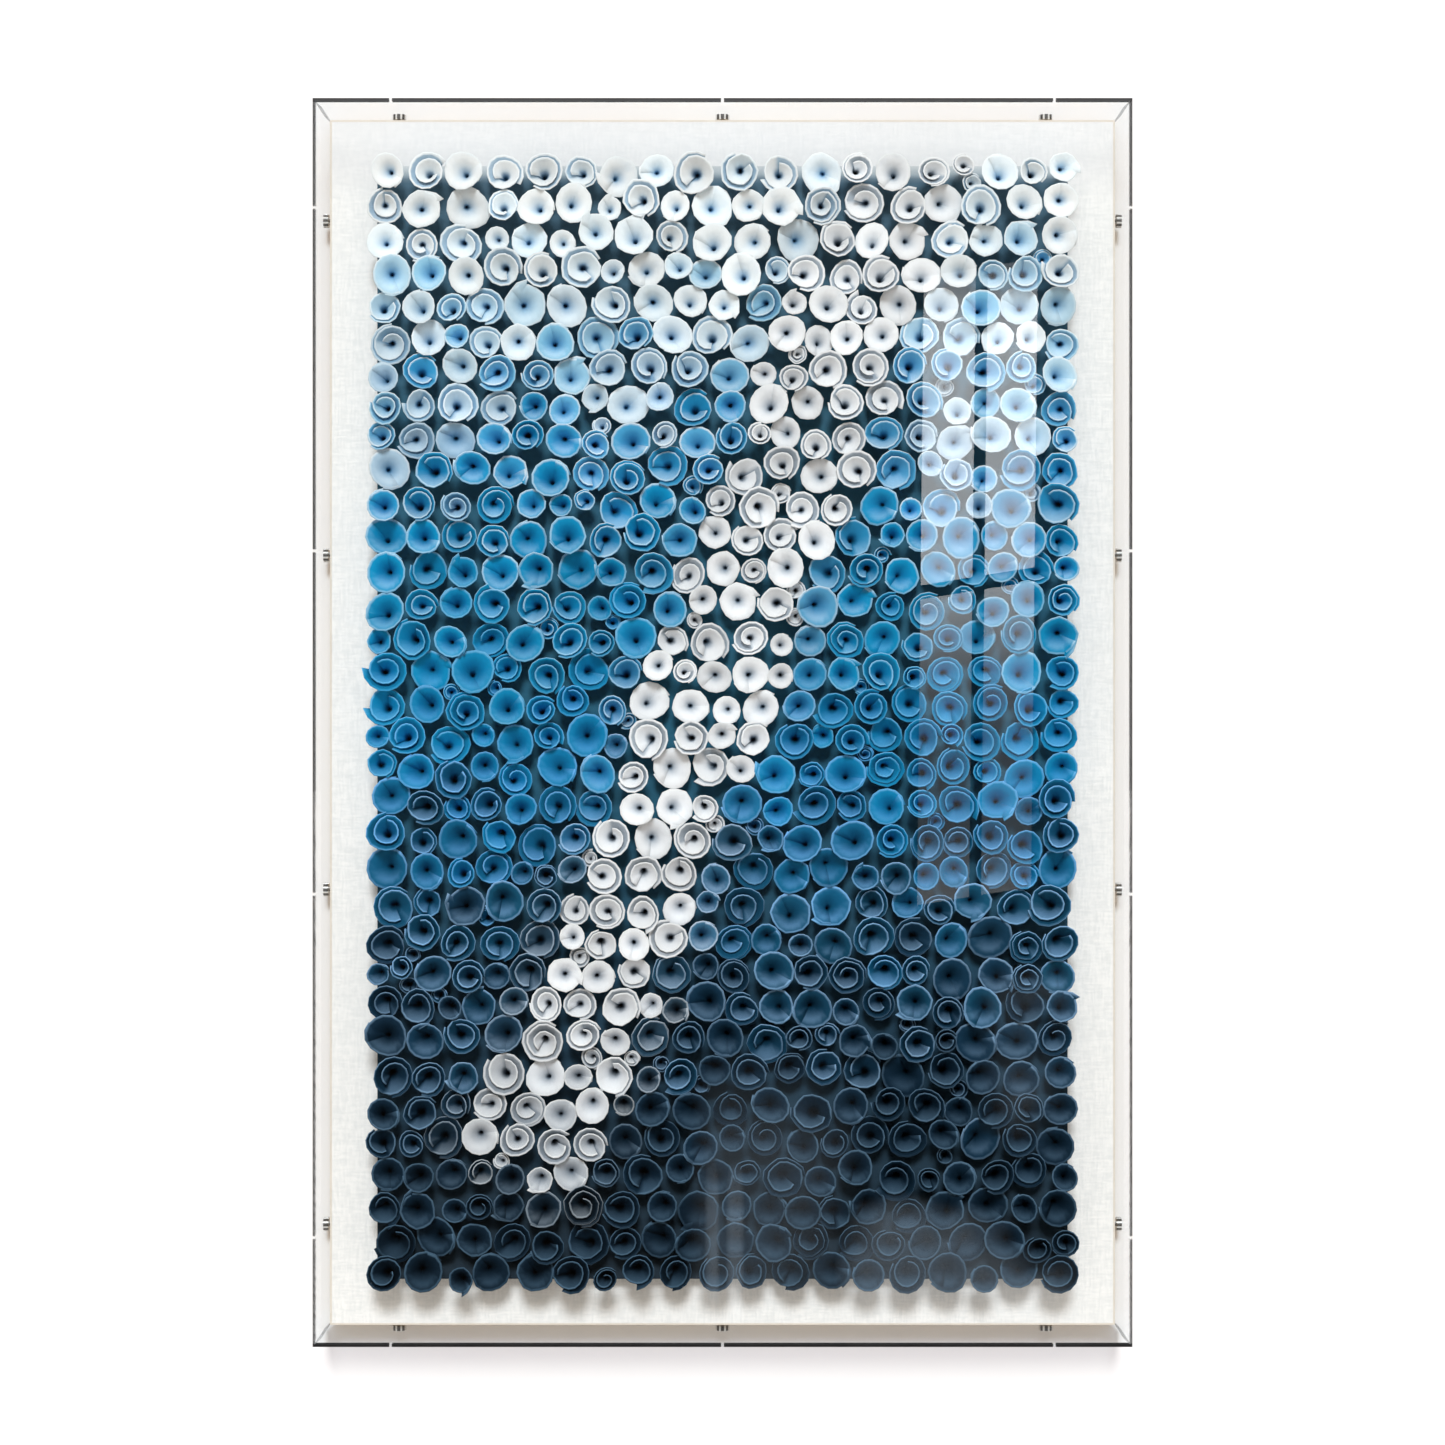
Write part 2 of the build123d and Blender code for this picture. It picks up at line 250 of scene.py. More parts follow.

# The dyes, from the top of the panel to its foot: on the sheet; down in its throat, darker, partly dye and
# partly painted shade; and on its cut rim, paler, partly the bare edge and partly a painted highlight
SHEET_DYES = (
    (0.00, "eaf2f6"),
    (0.08, "e8f2f7"),
    (0.16, "90c8e4"),
    (0.24, "3ea4d6"),
    (0.32, "0c90c2"),
    (0.42, "0f8dbd"),
    (0.50, "0c88bb"),
    (0.57, "0e7bab"),
    (0.62, "125f86"),
    (0.68, "134c68"),
    (0.75, "133952"),
    (0.83, "0d273a"),
    (1.00, "0a1e2d"),
)
# The throat's colours are partly dye and partly painted shade, for the shade that falls down in the cone.
THROAT_DYES_AND_SHADE = (
    (0.00, "6aa2c6"),
    (0.18, "3f88b4"),
    (0.32, "18739a"),
    (0.54, "117096"),
    (0.66, "0c4563"),
    (0.78, "082739"),
    (1.00, "05131d"),
)
# The rim's colours are partly the bare cut edge and partly a painted highlight.
RIM_DYES_AND_HIGHLIGHT = (
    (0.00, "f2f8fb"),
    (0.22, "f0f8fc"),
    (0.34, "c4e4f6"),
    (0.46, "74c0ec"),
    (0.58, "72bbf8"),
    (0.68, "94c4f2"),
    (0.76, "84a8ca"),
    (0.85, "5b7a94"),
    (1.00, "4e6c84"),
)
STRIPE_DYES = ((0.0, "eff2f5"), (0.72, "edf0f4"), (1.0, "8f9aa6"))
# On the white cones of the stripe, the grey-blue throat is painted shade.
STRIPE_THROAT_SHADE = "66798a"
STRIPE_THROAT_SHADE_SHARE = 0.75
WHITE_DYE = "eff2f3"
BLUSH_DYE = "9dc0d6"
FADED_SHARE = 0.34
FADED_CHANCE = 0.6
FADED_CHANCE_POWER = 0.5
FADE_POWER = 0.35
DRIFT_SHARE = 0.035
BLUSH_REACH = 34 * MM
BLUSH_SHARE = 0.7
BLUSH_POWER = 0.5
DYE_LAYERS = ("sheet", "throat", "rim")

# How the dyes lie on a sheet, by its rise from tip to rim, and the painted light: faces that look up are
# paler towards the rim, and the rim is brighter where it faces up
MOTTLE_NOISE = 90.0
MOTTLE_STEPS = (0.45, 0.8)
MOTTLE_TONE = 0.15
FIBRE_NOISE = 1500.0
FIBRE_STRETCH = (1, 1, 1.6)
SOAK_STEPS = (0.05, 0.8)
SOAK_WAVER = 0.25
PAINTED_LIGHT_RISE_STEPS = (0.35, 1.0)
PAINTED_LIGHT_TONE = 0.46
PAINTED_LIGHT_FACING_STEPS = (-0.1, 0.9)
RIM_STEPS = (0.93, 0.99)
RIM_PAINTED_LIGHT_FACING_STEPS = (-0.4, 0.6)
RIM_TONE = 0.25
RIM_PAINTED_LIGHT_TONE = 0.7


def linear(code):
    """A six-figure colour code as linear red, green and blue."""
    levels = [int(code[n:n + 2], 16) / 255 for n in (0, 2, 4)]
    return tuple(v / 12.92 if v <= 0.04045 else ((v + 0.055) / 1.055) ** 2.4 for v in levels)


def rgba(code):
    return (*linear(code), 1.0)


class Value:
    """A socket of a finish's node tree. Arithmetic on it adds Math nodes."""

    def __init__(self, finish, socket):
        self.finish = finish
        self.socket = socket

    def math(self, operation, *terms):
        return self.finish.node("ShaderNodeMath", {"operation": operation}, dict(enumerate(terms)))

    def __add__(self, other):
        return self.math("ADD", self, other)

    __radd__ = __add__

    def __sub__(self, other):
        return self.math("SUBTRACT", self, other)

    def __rsub__(self, other):
        return self.math("SUBTRACT", other, self)

    def __mul__(self, other):
        return self.math("MULTIPLY", self, other)

    __rmul__ = __mul__

    def __truediv__(self, other):
        return self.math("DIVIDE", self, other)

    def __pow__(self, power):
        return self.math("POWER", self, power)

    def __abs__(self):
        return self.math("ABSOLUTE", self)

    def least(self, other):
        return self.math("MINIMUM", self, other)

    def most(self, other):
        return self.math("MAXIMUM", self, other)

    def over(self, low, high):
        """0 below low, 1 above high, with a smooth step between."""
        settings = {"interpolation_type": "SMOOTHSTEP"}
        return self.finish.node("ShaderNodeMapRange", settings, {0: self, 1: low, 2: high})


class Finish:
    """A material, or the world, and its node tree."""

    def __init__(self, name, kind="Material"):
        owners = bpy.data.materials if kind == "Material" else bpy.data.worlds
        self.kind = kind
        self.owner = owners.new(name)
        self.owner.use_nodes = True
        self.tree = self.owner.node_tree
        self.tree.nodes.clear()

    def node(self, kind, settings=None, sockets=None, output=0):
        """Adds a node: its settings first, then the values or links of its sockets."""
        node = self.tree.nodes.new(kind)
        for name, value in (settings or {}).items():
            if name == "stops":
                fill_ramp(node.color_ramp, value)
            else:
                setattr(node, name, value)
        for name, value in (sockets or {}).items():
            if isinstance(value, Value):
                self.tree.links.new(value.socket, node.inputs[name])
            else:
                node.inputs[name].default_value = value
        return Value(self, node.outputs[output])

    def place(self):
        """The Object coordinates, and their three parts."""
        coords = self.node("ShaderNodeTexCoord", output="Object")
        parts = [self.node("ShaderNodeSeparateXYZ", None, {0: coords}, n) for n in range(3)]
        return coords, *parts

    def facing(self):
        """The three parts of the surface normal."""
        normal = self.node("ShaderNodeNewGeometry", output="Normal")
        return [self.node("ShaderNodeSeparateXYZ", None, {0: normal}, n) for n in range(3)]

    def stretched(self, coords, scale):
        return self.node("ShaderNodeMapping", None, {"Vector": coords, "Scale": scale})

    def noise(self, coords, scale, detail=3.0):
        return self.node("ShaderNodeTexNoise", None, {"Vector": coords, "Scale": scale, "Detail": detail})

    def blend(self, factor, first, second, method="MIX"):
        """One colour into another by a factor."""
        settings = {"data_type": "RGBA", "blend_type": method}
        return self.node("ShaderNodeMix", settings, {0: factor, 6: first, 7: second}, 2)

    def bump(self, height, distance, strength=1.0):
        sockets = {"Height": height, "Distance": distance, "Strength": strength}
        return self.node("ShaderNodeBump", None, sockets)

    def principled(self, sockets):
        return self.node("ShaderNodeBsdfPrincipled", None, sockets)

    def mixed(self, factor, first, second):
        return self.node("ShaderNodeMixShader", None, {0: factor, 1: first, 2: second})

    def show(self, shader):
        output = self.tree.nodes.new(f"ShaderNodeOutput{self.kind}")
        self.tree.links.new(shader.socket, output.inputs["Surface"])
        return self.owner


def fill_ramp(ramp, stops):
    """Sets a colour ramp's stops, each a place and a colour code."""
    for extra in list(ramp.elements)[1:]:
        ramp.elements.remove(extra)
    ramp.elements[0].position = stops[0][0]
    ramp.elements[0].color = rgba(stops[0][1])
    for place, code in stops[1:]:
        ramp.elements.new(place).color = rgba(code)


def sheen_of_acrylic(finish):
    """How much of the light a clear sheet throws back, more at a glance."""
    facing = finish.node("ShaderNodeLayerWeight", None, {"Blend": 0.5}, "Facing")
    return FACE_SHEEN + GLANCE_SHEEN * facing ** GLANCE_POWER


def from_end_screw(x):
    """How far a place along an end of the cover is from the nearest screw."""
    return abs(abs(x) - END_SCREW_REACH).least(abs(x))


def from_side_screw(z):
    """How far a place along a side of the cover is from the nearest screw."""
    return abs(abs(abs(z) - SIDE_SCREW_PITCH) - SIDE_SCREW_PITCH / 2)


def clear_acrylic_front():
    """The front sheet, with a painted dark line that stands in for the refraction in its polished edge,
    broken at each screw.
    """
    finish = Finish("clear acrylic front")
    coords, x, _, z = finish.place()
    from_side = HALF_WIDTH - abs(x)
    from_end = HALF_HEIGHT - abs(z)
    clear = finish.node("ShaderNodeBsdfTransparent", None, {"Color": rgba("fdfefe")})
    smears = finish.noise(finish.stretched(coords, FRONT_SMEAR_STRETCH), SMEAR_NOISE, 4.0)
    gloss = finish.node("ShaderNodeBsdfGlossy", None, {"Roughness": 0.0})
    sheet = finish.mixed(sheen_of_acrylic(finish) * (0.8 + 0.4 * smears), clear, gloss)
    # Painted reflection: an opaque dark line along the edges, where a clear sheet only looks dark by
    # refraction; it casts no shadow.
    painted_edge_noise = finish.noise(coords, EDGE_NOISE)
    painted_edge_tone = finish.blend(painted_edge_noise, rgba("0b0c0d"), rgba("26282a"))
    edge = finish.principled({"Base Color": painted_edge_tone, "Roughness": 0.45})
    end_line = (1 - from_end.over(*END_LINE_STEPS)) * from_end_screw(x).over(*LINE_BREAK_STEPS)
    side_line = (1 - from_side.over(*SIDE_LINE_STEPS)) * from_side_screw(z).over(*LINE_BREAK_STEPS)
    unlit = 1 - finish.node("ShaderNodeLightPath", output="Is Shadow Ray")
    return finish.show(finish.mixed(end_line.most(side_line * SIDE_LINE_TONE) * unlit, sheet, edge))


def clear_acrylic_wall():
    """A side wall, with a grey line where the mitres are cemented. The bottom one casts a faint shade."""
    finish = Finish("clear acrylic wall")
    coords, x, y, z = finish.place()
    from_mitre = abs((HALF_WIDTH - abs(x)) - (HALF_HEIGHT - abs(z)))
    clear = finish.node("ShaderNodeBsdfTransparent", None, {"Color": rgba("fdfefe")})
    smears = finish.noise(finish.stretched(coords, WALL_SMEAR_STRETCH), SMEAR_NOISE, 4.0)
    gloss = finish.node("ShaderNodeBsdfGlossy", None, {"Roughness": 0.02})
    wall = finish.mixed(sheen_of_acrylic(finish) * (0.08 + 0.08 * smears), clear, gloss)
    cement_noise = finish.noise(coords, CEMENT_NOISE)
    cement_tone = finish.blend(cement_noise, rgba("7d8082"), rgba("a5a8aa"))
    cement = finish.principled({"Base Color": cement_tone, "Roughness": 0.3})
    mitre = 1 - from_mitre.over(*MITRE_STEPS)
    shaded = finish.node("ShaderNodeLightPath", output="Is Shadow Ray")
    jointed = finish.mixed(mitre * MITRE_TONE * (1 - shaded), wall, cement)
    dimmed = finish.node("ShaderNodeBsdfTransparent", None, {"Color": rgba(FOOT_SHADE)})
    at_foot = (z * -1.0).over(*BOTTOM_WALL_STEPS) * y.over(*FOOT_SHADE_STEPS)
    return finish.show(finish.mixed(shaded * at_foot, jointed, dimmed))


def white_cloth_board():
    """Fine white cloth over a board, with a raw beige edge, a brown back and painted shade along the top of
    its face.
    """
    finish = Finish("white cloth board")
    coords, x, _, z = finish.place()
    _, ny, _ = finish.facing()
    weft = finish.noise(finish.stretched(coords, WEFT_SCALE), 1.0)
    warp = finish.noise(finish.stretched(coords, WARP_SCALE), 1.0)
    weave = weft * 0.5 + warp * 0.5
    cloth = finish.blend(weave.over(*WEAVE_STEPS), rgba("eaecec"), rgba("fcfcfb"))
    clouds = finish.noise(coords, CLOUD_NOISE)
    cloth = finish.blend(clouds.over(*CLOUD_STEPS) * 0.3, cloth, rgba("e9ebec"))
    # Painted shade: the cloth is made greyer towards the top of the board.
    cloth = finish.blend(z.over(*PAINTED_TOP_SHADE_STEPS) * PAINTED_TOP_SHADE_TONE, cloth, rgba("dcdee3"))
    grain = finish.noise(finish.stretched(coords, RAW_EDGE_STRETCH), 1.0)
    raw = finish.blend(grain, rgba("c9b79f"), rgba("e2d6c4"))
    inside = (BOARD_HIGH[0] - abs(x)).least(BOARD_HIGH[2] - abs(z))
    rim = 1 - inside.over(*BOARD_RIM_STEPS)
    fibres = finish.noise(coords, BACK_FIBRE_NOISE, 6.0)
    back = finish.blend(fibres, rgba("8d6f4f"), rgba("b2946f"))
    front = 1 - ny.over(*FRONT_FACING_STEPS)
    sides = finish.blend(front, raw, finish.blend(rim * BOARD_RIM_TONE, cloth, raw))
    colour = finish.blend(ny.over(*BACK_FACING_STEPS), sides, back)
    sockets = {"Base Color": colour, "Roughness": 0.85, "Normal": finish.bump(weave, WEAVE_RELIEF, 0.6)}
    return finish.show(finish.principled(sockets))


def blue_panel():
    """Painted board behind the cones, as dark at its foot as they are."""
    finish = Finish("blue panel")
    coords, _, _, z = finish.place()
    down = (PANEL_TOP - z) / PANEL_HEIGHT
    stops = (
        (0.0, "dfe5e8"),
        (0.007, "b9c7cf"),
        (0.013, "4b6f84"),
        (0.25, "266a84"),
        (0.5, "126c8a"),
        (0.75, "094560"),
        (1.0, "062738"),
    )
    wash = finish.node("ShaderNodeValToRGB", {"stops": stops}, {0: down})
    brush = finish.noise(finish.stretched(coords, BRUSH_STRETCH), BRUSH_NOISE, 5.0)
    colour = finish.blend(brush * BRUSH_TONE, wash, rgba("0b141d"))
    sockets = {"Base Color": colour, "Roughness": 0.6 + 0.25 * brush}
    sockets["Normal"] = finish.bump(brush, BRUSH_RELIEF)
    return finish.show(finish.principled(sockets))


def pine(name, along):
    """Planed pine with its grain along x or z."""
    finish = Finish(name)
    coords = finish.place()[0]
    level = along == "x"
    scale = (PINE_ALONG, PINE_ACROSS, PINE_ACROSS) if level else (PINE_ACROSS, PINE_ACROSS, PINE_ALONG)
    grain = finish.noise(finish.stretched(coords, scale), GRAIN_NOISE, 5.0)
    rings = finish.noise(finish.stretched(coords, scale), RING_NOISE, 1.0)
    lines = rings.math("FRACT", rings * PINE_RINGS)
    wood = finish.blend(lines.over(*RING_STEPS), rgba("e6c79a"), rgba("cf9f66"))
    wood = finish.blend(grain.over(*GRAIN_STEPS) * GRAIN_TONE, wood, rgba("b98a55"))
    height = lines * 0.4 + grain * 0.6
    sockets = {"Base Color": wood, "Roughness": 0.5 + 0.25 * grain}
    sockets["Normal"] = finish.bump(height, GRAIN_RELIEF)
    return finish.show(finish.principled(sockets))


def white_foam():
    """Cut foam board, with its cells just showing."""
    finish = Finish("white foam")
    coords = finish.place()[0]
    cells = finish.node("ShaderNodeTexVoronoi", None, {"Vector": coords, "Scale": FOAM_CELLS})
    colour = finish.blend(cells, rgba("f3f3f0"), rgba("dcdcd6"))
    sockets = {"Base Color": colour, "Roughness": 0.7, "Normal": finish.bump(cells, CELL_RELIEF)}
    return finish.show(finish.principled(sockets))


def screw_steel():
    """Steel whose near-white ridges are partly a painted highlight and whose flutes round the head carry
    painted dark bands of shade and reflection, with a bump for the flutes.
    """
    finish = Finish("screw steel")
    coords, x, _, z = finish.place()
    nx, _, nz = finish.facing()
    at_end = abs(z).over(SIDE_SCREW_REACH + 2 * HEAD_RADIUS, SIDE_SCREW_REACH + 3 * HEAD_RADIUS)
    from_axis = at_end * from_end_screw(x) + (1 - at_end) * from_side_screw(z)
    turn = from_axis.math("ARCSINE", (from_axis / HEAD_RADIUS).least(1.0))
    wave = turn.math("COSINE", turn * HEAD_FLUTES)
    cap = at_end * abs(nz) + (1 - at_end) * abs(nx)
    # Painted shade and reflection: dark bands in the flutes. The same mask is also the flutes' bump relief.
    flute_relief_and_shade = wave.over(*FLUTE_STEPS) * (1 - cap.over(*CAP_STEPS))
    brushed = finish.noise(finish.stretched(coords, STEEL_STRETCH), STEEL_NOISE, 4.0)
    # Partly the steel, partly a painted highlight: the base is near white so that the ridges show as
    # highlights.
    steel_and_highlight = finish.blend(brushed, rgba("e4e5e6"), rgba("fafafa"))
    colour = finish.blend(flute_relief_and_shade, steel_and_highlight, rgba("4a4644"))
    sockets = {"Base Color": colour, "Metallic": 0.2, "Roughness": 0.25 + 0.2 * brushed}
    sockets["Normal"] = finish.bump(flute_relief_and_shade * -1.0, FLUTE_RELIEF)
    return finish.show(finish.principled(sockets))


def dyed_paper():
    """Dyed paper: each cone has its own dyes on the sheet, down in its throat and on its cut rim, with
    painted light: faces that look up turn paler towards the rim, and the rim is brighter where it faces up.
    """
    finish = Finish("dyed paper")
    coords = finish.place()[0]
    _, _, nz = finish.facing()
    sheet, throat, rim = [
        finish.node("ShaderNodeAttribute", {"attribute_name": name}, None, "Color") for name in DYE_LAYERS
    ]
    rise = finish.node("ShaderNodeAttribute", {"attribute_name": "rise"}, None, "Fac")
    mottle = finish.noise(coords, MOTTLE_NOISE, 4.0)
    fibre = finish.noise(finish.stretched(coords, FIBRE_STRETCH), FIBRE_NOISE, 2.0)
    soaked = rise + SOAK_WAVER * (mottle - 0.5)
    # Partly painted shade: towards the tip, the sheet takes the darker throat colour.
    dye = finish.blend(soaked.over(*SOAK_STEPS), throat, sheet)
    dye = finish.blend(mottle.over(*MOTTLE_STEPS) * MOTTLE_TONE, dye, throat)
    # Painted light: faces that look up take the paler rim colour towards the rim.
    dye = finish.blend(nz.over(*PAINTED_LIGHT_FACING_STEPS) * rise.over(*PAINTED_LIGHT_RISE_STEPS) * PAINTED_LIGHT_TONE, dye, rim)
    # Painted highlight: the cut rim is brighter where it faces up.
    painted_lit_rim = RIM_TONE + RIM_PAINTED_LIGHT_TONE * nz.over(*RIM_PAINTED_LIGHT_FACING_STEPS)
    colour = finish.blend(rise.over(*RIM_STEPS) * painted_lit_rim, dye, rim)
    height = fibre * 0.5 + mottle * 0.5
    sockets = {"Base Color": colour, "Roughness": 0.72 + 0.2 * mottle, "Specular IOR Level": 0.1}
    sockets["Normal"] = finish.bump(height, PAPER_RELIEF, 0.7)
    return finish.show(finish.principled(sockets))


def rolled_sheet(name, profile, turns, width, draw, flap, lean):
    """A unit cone of rolled paper: tip at the origin, rim one up and one out, wound in to its free edge."""
    bm = bmesh.new()
    rise_layer = bm.verts.layers.float.new("rise")
    for dye in DYE_LAYERS:
        bm.verts.layers.float_color.new(dye)
    spine = []
    for reach, rise in profile:
        vert = bm.verts.new((reach, 0, rise))
        vert[rise_layer] = rise
        spine.append(vert)
    edges = [bm.edges.new(pair) for pair in zip(spine, spine[1:])]
    columns = round(COLUMNS_PER_TURN * turns)
    step = Matrix.Rotation(2 * math.pi * turns / columns, 4, "Z")
    phase = draw.uniform(0, 2 * math.pi)
    lobes = draw.choice(LOBES)
    lift = draw.uniform(*LIFTS)
    heading = draw.uniform(0, 2 * math.pi)
    lean_columns = max(1, columns - COLUMNS_PER_TURN)
    shear = Matrix.Identity(4)
    shear[0][2] = lean * math.cos(heading) / lean_columns
    shear[1][2] = lean * math.sin(heading) / lean_columns

    def reach_at(column):
        turn = turns * column / columns
        return width(turn) * (1 - WAVER_SHARE * math.sin(lobes * math.pi * turn + phase) ** 2)

    def height_at(column):
        return 1 + lift * max(0, turns * column / columns - 1)

    rims = [spine[-1]]
    outer = spine[:]
    for column in range(columns):
        grown = bmesh.ops.extrude_edge_only(bm, edges=edges)["geom"]
        verts = [item for item in grown if isinstance(item, bmesh.types.BMVert)]
        edges = [item for item in grown if isinstance(item, bmesh.types.BMEdge)]
        edges = [edge for edge in edges if all(vert in verts for vert in edge.verts)]
        pull = reach_at(column + 1) / reach_at(column)
        scale = Matrix.Diagonal((pull, pull, height_at(column + 1) / height_at(column), 1))
        inside = shear if column >= COLUMNS_PER_TURN else Matrix.Identity(4)
        bmesh.ops.transform(bm, matrix=inside @ scale @ step, verts=verts)
        rims.append(max(verts, key=lambda vert: vert[rise_layer]))
        if column + COLUMNS_PER_TURN < columns:
            outer += verts
    # Painted shade: the part of the sheet with another turn inside it gets a low rise, so it takes the darker
    # throat colour.
    for vert in outer:
        if turns > COVERED_TURNS and vert[rise_layer] < 1:
            vert[rise_layer] = min(vert[rise_layer], UNDER_TURN_SHADE_RISE)
    for vert, share in zip(rims, FLAP_SHARES):
        reach = 1 + (flap - 1) * share
        bmesh.ops.scale(bm, verts=[vert], vec=(reach, reach, reach))
    bmesh.ops.recalc_face_normals(bm, faces=bm.faces[:])
    for face in bm.faces:
        face.smooth = True
    mesh = bpy.data.meshes.new(name)
    bm.to_mesh(mesh)
    bm.free()
    return mesh


def funnel(name, draw, flap):
    """A cone wound little more than once, with a seam down its side."""
    overlap = draw.uniform(*FUNNEL_OVERLAPS)
    turns = draw.uniform(*FUNNEL_TURNS)
    return rolled_sheet(name, PLAIN_PROFILE, turns, lambda turn: 1 - overlap * turn, draw, flap, 0.0)


def cup(name, draw, flap):
    """A cone whose second turn stands up inside the first and leans to one side."""
    overlap = draw.uniform(*CUP_OVERLAPS)
    inner = draw.uniform(*CUP_INNERS)

    def width(turn):
        drop = min(max(turn - CUP_DROP_START, 0) / CUP_DROP_TURN, 1)
        return (1 - overlap * min(turn, 1)) + (inner - 1 + overlap) * drop * drop * (3 - 2 * drop)

    turns = draw.uniform(*CUP_TURNS)
    return rolled_sheet(name, ROLLED_PROFILE, turns, width, draw, flap, draw.uniform(*CUP_LEANS))


def curl(name, draw, flap):
    """A cone that winds evenly inwards."""
    turns = draw.choice(CURL_TURNS)
    overlap = draw.uniform(*CURL_OVERLAPS)
    inner = CURL_INNER - CURL_INNER_FALL * (turns - 1) + draw.uniform(*CURL_INNER_DRIFTS)

    def width(turn):
        return 1 - overlap * min(turn, 1) - (1 - overlap - inner) * max(turn - 1, 0) / (turns - 1)

    return rolled_sheet(name, ROLLED_PROFILE, turns, width, draw, flap, draw.uniform(*CURL_LEANS))


def sheet_shapes():
    """The plain funnels, and the wound cones by turns cup and curl."""
    draw = random.Random(SHAPE_SEED)
    flaps = {n: FLAP_REACH for n in FLAPPED_SHAPES}
    plain = [funnel(f"funnel_{n}", draw, flaps.get(n, 1.0)) for n in range(PLAIN_SHAPES)]
    rolled = [(cup, curl)[n % 2](f"rolled_{n}", draw, flaps.get(n, 1.0)) for n in range(ROLLED_SHAPES)]
    return plain, rolled


def islands(bm):
    """The separate solids of a mesh, as lists of vertices."""
    waiting = set(bm.verts)
    while waiting:
        group = [waiting.pop()]
        for vert in group:
            for edge in vert.link_edges:
                other = edge.other_vert(vert)
                if other in waiting:
                    waiting.remove(other)
                    group.append(other)
        yield group


class Cone:
    """One cone's tip, axis, rim and seam, read from its solid."""

    def __init__(self, points):
        points = sorted(points, key=lambda p: -p.y)
        self.tip = points[0]
        throat = min(points[1:], key=lambda p: (p - self.tip).length)
        self.axis = (throat - self.tip).normalized()
        corners = [p for p in points[1:] if p is not throat]
        arms = [(p - self.tip) - self.axis * (p - self.tip).dot(self.axis) for p in corners]
        self.height = max((p - self.tip).dot(self.axis) for p in corners)
        longest = max(arms, key=lambda arm: arm.length)
        self.radius = longest.length
        self.seam = longest.normalized()
        self.rolled = min(arm.length for arm in arms) < ROLLED_SHARE * self.radius
        column, row = [round(place * CONE_SEED_GRID) for place in (self.tip.x, self.tip.z)]
        self.draw = random.Random(column * CONE_SEED_STEP + row)

    def matrix(self, turn, squash):
        """Takes a unit cone to this cone's place."""
        side = self.axis.cross(self.seam)
        across = (self.seam * math.cos(turn) + side * math.sin(turn)).normalized()
        along = self.axis.cross(across)
        reach = self.radius * PRESS_SHARE
        columns = (across * reach * squash, along * reach / squash, self.axis * self.height)
        matrix = Matrix(columns).transposed().to_4x4()
        return Matrix.Translation(self.tip) @ matrix


def cones_of(node):
    """Every cone in a node."""
    bm = bmesh.new()
    bm.from_mesh(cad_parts[node].data)
    bmesh.ops.remove_doubles(bm, verts=bm.verts[:], dist=MERGE_DISTANCE)
    found = [Cone([vert.co.copy() for vert in group]) for group in islands(bm)]
    bm.free()
    return sorted(found, key=lambda cone: (round(cone.tip.z, 5), round(cone.tip.x, 5)))


def along_dyes(dyes, share):
    """The colour at a share of the way along a row of dyes."""
    share = min(max(share, dyes[0][0]), dyes[-1][0])
    for (low, first), (high, second) in zip(dyes, dyes[1:]):
        if share <= high:
            return Vector(linear(first)).lerp(Vector(linear(second)), (share - low) / (high - low))


def dyes_of(cone, in_stripe, stripe_places):
    """A cone's own colours for sheet, throat and rim: by its height, with drift, and paler beside the stripe.
    The throat's are partly painted shade and the rim's partly a painted highlight.
    """
    share = (PANEL_TOP - cone.tip.z) / PANEL_HEIGHT
    drifted = share + cone.draw.gauss(0, DRIFT_SHARE)
    white = Vector(linear(WHITE_DYE))
    throat = along_dyes(THROAT_DYES_AND_SHADE, drifted)
    rim = along_dyes(RIM_DYES_AND_HIGHLIGHT, drifted)
    if in_stripe:
        sheet = along_dyes(STRIPE_DYES, drifted)
        throat = throat.lerp(Vector(linear(STRIPE_THROAT_SHADE)), STRIPE_THROAT_SHADE_SHARE)
        rim = white
    else:
        sheet = along_dyes(SHEET_DYES, drifted)
        near_top = max(0.0, 1 - share / FADED_SHARE)
        if near_top > 0 and cone.draw.random() < FADED_CHANCE * near_top ** FADED_CHANCE_POWER:
            sheet = sheet.lerp(white, cone.draw.uniform(*FADES) * near_top ** FADE_POWER)
        nearest = min((place - cone.tip).length for place in stripe_places)
        blush = cone.draw.random() * max(0.0, 1 - nearest / BLUSH_REACH) ** BLUSH_POWER
        sheet = sheet.lerp(Vector(linear(BLUSH_DYE)), BLUSH_SHARE * blush * (1 - share))
        rim = rim.lerp(white, blush)
    shade = cone.draw.uniform(*SHADES)
    return [(*(dye * shade), 1.0) for dye in (sheet, throat, rim)]


